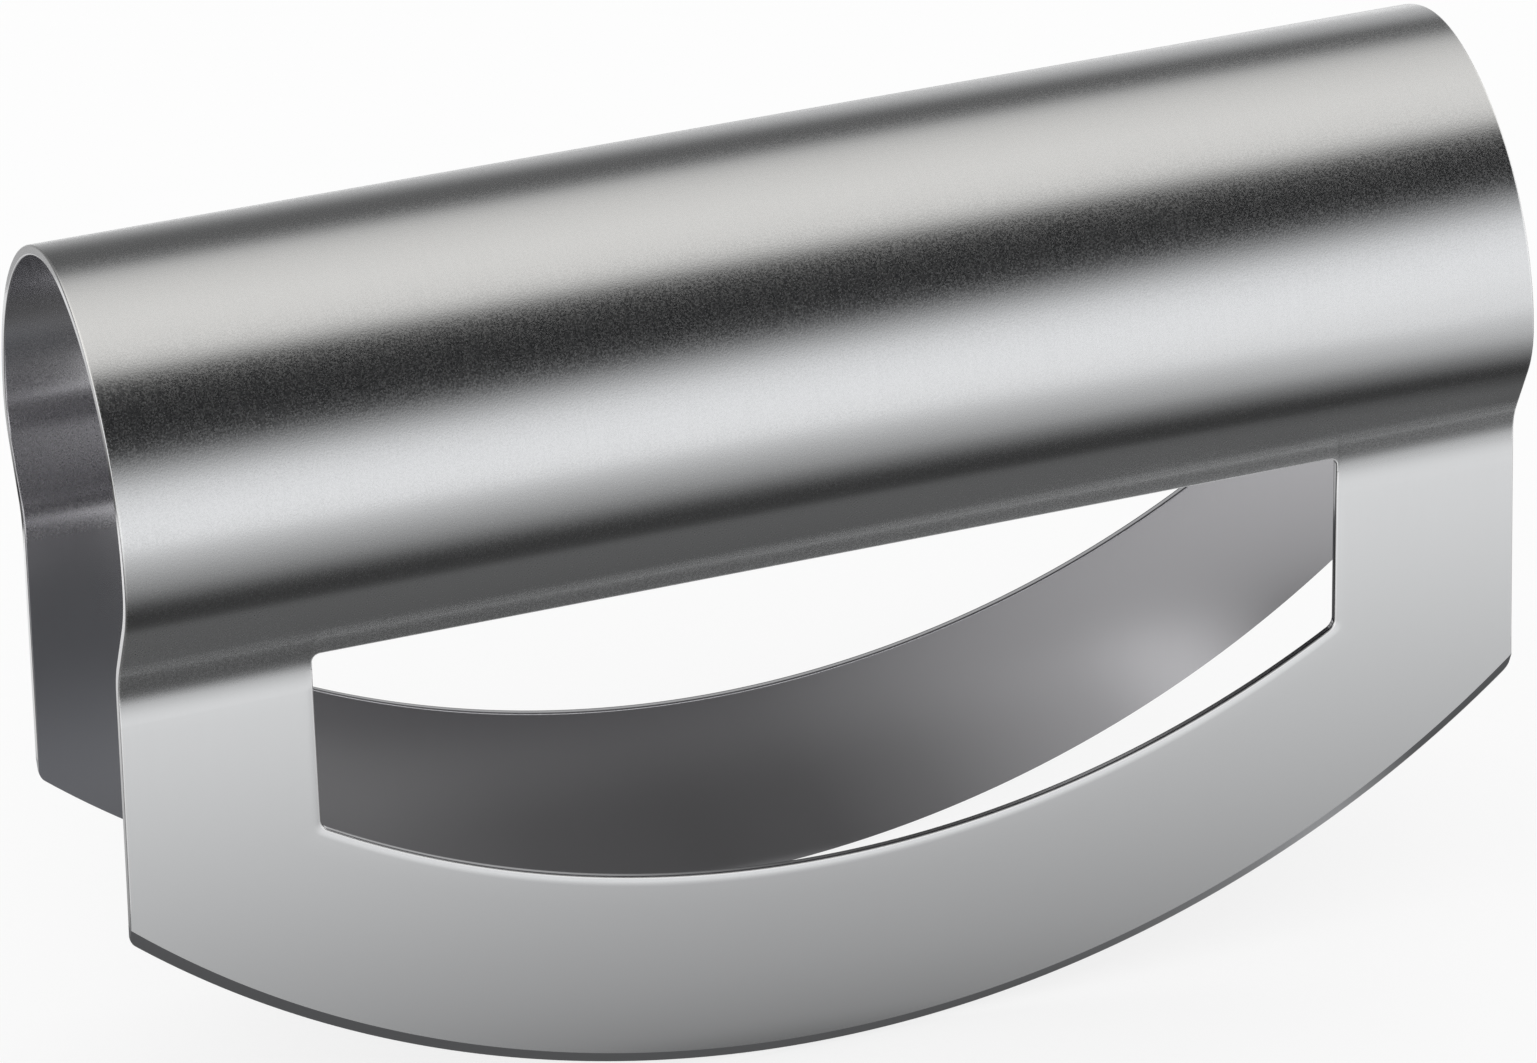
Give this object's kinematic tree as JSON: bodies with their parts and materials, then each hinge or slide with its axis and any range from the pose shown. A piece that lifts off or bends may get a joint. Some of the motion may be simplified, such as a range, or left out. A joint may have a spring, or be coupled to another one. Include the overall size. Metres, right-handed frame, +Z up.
{
  "type": "mezzaluna",
  "caption": "Rocking herb knife of satin steel sheet: an open rolled handle over parallel crescent blades with finger windows and ground edges.",
  "frame": {"origin": "on the surface the blades stand on, midway between the blades and between the ends", "axes": "+X along the handle, +Y from the front blade to the rear blade, +Z up through the crown of the handle"},
  "size_m": [0.1704, 0.053, 0.1092],
  "materials": {
    "handle_steel": "satin, fine grain round the section",
    "blade_steel": "satin, with a ground bevel along the edge"
  },
  "bodies": {
    "root": {"handle_shell": "handle_steel", "front_blade": "blade_steel", "rear_blade": "blade_steel"}
  },
  "joints": []
}
